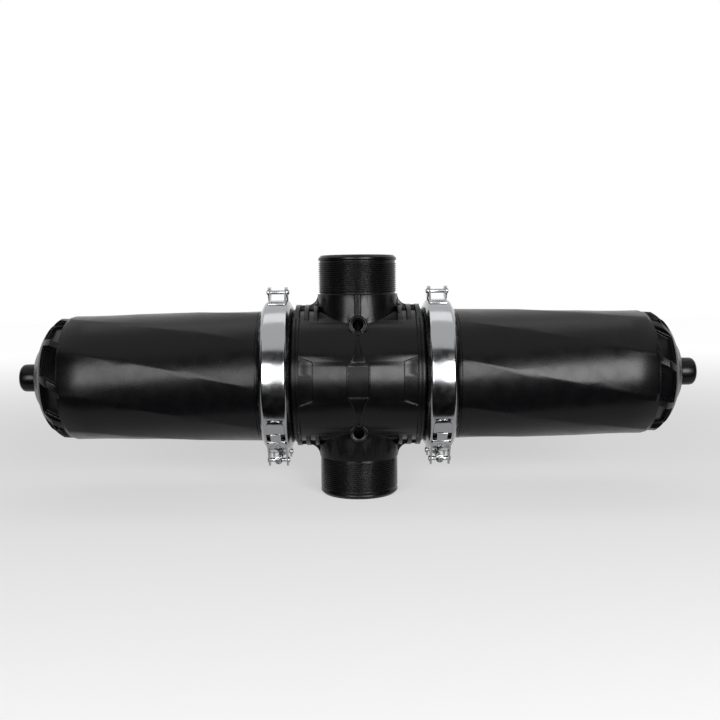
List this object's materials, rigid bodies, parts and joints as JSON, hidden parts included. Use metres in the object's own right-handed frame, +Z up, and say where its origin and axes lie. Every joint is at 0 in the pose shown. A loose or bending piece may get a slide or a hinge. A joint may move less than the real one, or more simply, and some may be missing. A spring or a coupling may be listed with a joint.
{
  "type": "irrigation disc filter",
  "caption": "Double disc filter for irrigation: fluted domed covers clamped to both ends of a centre body with threaded ports above and below.",
  "frame": {"origin": "where the covers' common axis crosses the ports' common axis", "axes": "+X along the covers to the right, +Z up along the ports to the outlet, -Y to the front with the gauge bosses"},
  "size_m": [0.7654, 0.168, 0.27],
  "materials": {
    "black_polyamide": "satin moulded, glass filled",
    "seal_rubber": "moulded",
    "grey_polypropylene": "satin moulded",
    "red_disc_plastic": "finely grooved",
    "polished_stainless": "polished stainless sheet",
    "stainless_fastener": "bright turned stainless"
  },
  "bodies": {
    "housing": {"filter_body": "black_polyamide", "left_cover": "black_polyamide", "left_cover_seal": "seal_rubber", "left_spine": "grey_polypropylene", "left_spine_seal": "seal_rubber", "left_helix_base": "grey_polypropylene", "left_disc_stack": "red_disc_plastic", "left_clamp_rear": "polished_stainless", "left_hinge_pin": "stainless_fastener", "right_cover": "black_polyamide", "right_cover_seal": "seal_rubber", "right_spine": "grey_polypropylene", "right_spine_seal": "seal_rubber", "right_helix_base": "grey_polypropylene", "right_disc_stack": "red_disc_plastic", "right_clamp_rear": "polished_stainless", "right_hinge_pin": "stainless_fastener"},
    "left_clamp_half": {"left_clamp_front": "polished_stainless"},
    "left_front_pivot": {"left_front_trunnion": "stainless_fastener"},
    "left_rear_pivot": {"left_rear_trunnion": "stainless_fastener", "left_screw_washer": "stainless_fastener"},
    "left_screw": {"left_clamp_screw": "stainless_fastener"},
    "left_gasket": {"left_drain_seal": "seal_rubber"},
    "left_cap": {"left_drain_cap": "black_polyamide"},
    "left_plate": {"left_pressure_plate": "grey_polypropylene"},
    "left_nut": {"left_cartridge_nut": "grey_polypropylene"},
    "right_clamp_half": {"right_clamp_front": "polished_stainless"},
    "right_front_pivot": {"right_front_trunnion": "stainless_fastener"},
    "right_rear_pivot": {"right_rear_trunnion": "stainless_fastener", "right_screw_washer": "stainless_fastener"},
    "right_screw": {"right_clamp_screw": "stainless_fastener"},
    "right_gasket": {"right_drain_seal": "seal_rubber"},
    "right_cap": {"right_drain_cap": "black_polyamide"},
    "right_plate": {"right_pressure_plate": "grey_polypropylene"},
    "right_nut": {"right_cartridge_nut": "grey_polypropylene"}
  },
  "joints": [
    {"name": "left_clamp_open", "type": "hinge", "parent": "housing", "child": "left_clamp_half", "pos_m": [-0.09, 0, 0.0945], "axis": [-1, 0, 0], "range_deg": [0, 4]},
    {"name": "left_front_trunnion_turn", "type": "hinge", "parent": "left_clamp_half", "child": "left_front_pivot", "pos_m": [-0.09, -0.025, -0.0926], "axis": [1, 0, 0], "range_deg": [0, 2]},
    {"name": "left_rear_trunnion_turn", "type": "hinge", "parent": "housing", "child": "left_rear_pivot", "pos_m": [-0.09, 0.025, -0.0926], "axis": [-1, 0, 0], "range_deg": [0, 2]},
    {"name": "left_screw_turn", "type": "hinge", "parent": "left_rear_pivot", "child": "left_screw", "pos_m": [-0.09, 0.025, -0.0926], "axis": [0, 1, 0], "range_deg": [0, 4700]},
    {"name": "left_cap_travel", "type": "slide", "parent": "housing", "child": "left_gasket", "axis": [-1, 0, 0], "range_m": [0, 0.01]},
    {"name": "left_cap_turn", "type": "hinge", "parent": "left_gasket", "child": "left_cap", "pos_m": [-0.38, 0, 0], "axis": [-1, 0, 0], "range_deg": [0, 1985]},
    {"name": "left_plate_travel", "type": "slide", "parent": "housing", "child": "left_plate", "axis": [-1, 0, 0], "range_m": [0, 0.008]},
    {"name": "left_nut_turn", "type": "hinge", "parent": "left_plate", "child": "left_nut", "pos_m": [-0.313, 0, 0], "axis": [-1, 0, 0], "range_deg": [0, 1153]},
    {"name": "right_clamp_open", "type": "hinge", "parent": "housing", "child": "right_clamp_half", "pos_m": [0.09, 0, 0.0945], "axis": [-1, 0, 0], "range_deg": [0, 4]},
    {"name": "right_front_trunnion_turn", "type": "hinge", "parent": "right_clamp_half", "child": "right_front_pivot", "pos_m": [0.09, -0.025, -0.0926], "axis": [1, 0, 0], "range_deg": [0, 2]},
    {"name": "right_rear_trunnion_turn", "type": "hinge", "parent": "housing", "child": "right_rear_pivot", "pos_m": [0.09, 0.025, -0.0926], "axis": [-1, 0, 0], "range_deg": [0, 2]},
    {"name": "right_screw_turn", "type": "hinge", "parent": "right_rear_pivot", "child": "right_screw", "pos_m": [0.09, 0.025, -0.0926], "axis": [0, 1, 0], "range_deg": [0, 4700]},
    {"name": "right_cap_travel", "type": "slide", "parent": "housing", "child": "right_gasket", "axis": [1, 0, 0], "range_m": [0, 0.01]},
    {"name": "right_cap_turn", "type": "hinge", "parent": "right_gasket", "child": "right_cap", "pos_m": [0.38, 0, 0], "axis": [1, 0, 0], "range_deg": [0, 1985]},
    {"name": "right_plate_travel", "type": "slide", "parent": "housing", "child": "right_plate", "axis": [1, 0, 0], "range_m": [0, 0.008]},
    {"name": "right_nut_turn", "type": "hinge", "parent": "right_plate", "child": "right_nut", "pos_m": [0.313, 0, 0], "axis": [1, 0, 0], "range_deg": [0, 1153]}
  ],
  "couplings": [
    {"joint": "left_screw_turn", "follows": "left_clamp_open", "ratio": 1174.5},
    {"joint": "left_front_trunnion_turn", "follows": "left_clamp_open", "ratio": 0.5},
    {"joint": "left_rear_trunnion_turn", "follows": "left_clamp_open", "ratio": 0.5},
    {"joint": "left_cap_turn", "follows": "left_cap_travel", "rad_per_m": 3463.7},
    {"joint": "left_nut_turn", "follows": "left_plate_travel", "rad_per_m": 2513.3},
    {"joint": "right_screw_turn", "follows": "right_clamp_open", "ratio": 1174.5},
    {"joint": "right_front_trunnion_turn", "follows": "right_clamp_open", "ratio": 0.5},
    {"joint": "right_rear_trunnion_turn", "follows": "right_clamp_open", "ratio": 0.5},
    {"joint": "right_cap_turn", "follows": "right_cap_travel", "rad_per_m": 3463.7},
    {"joint": "right_nut_turn", "follows": "right_plate_travel", "rad_per_m": 2513.3}
  ]
}
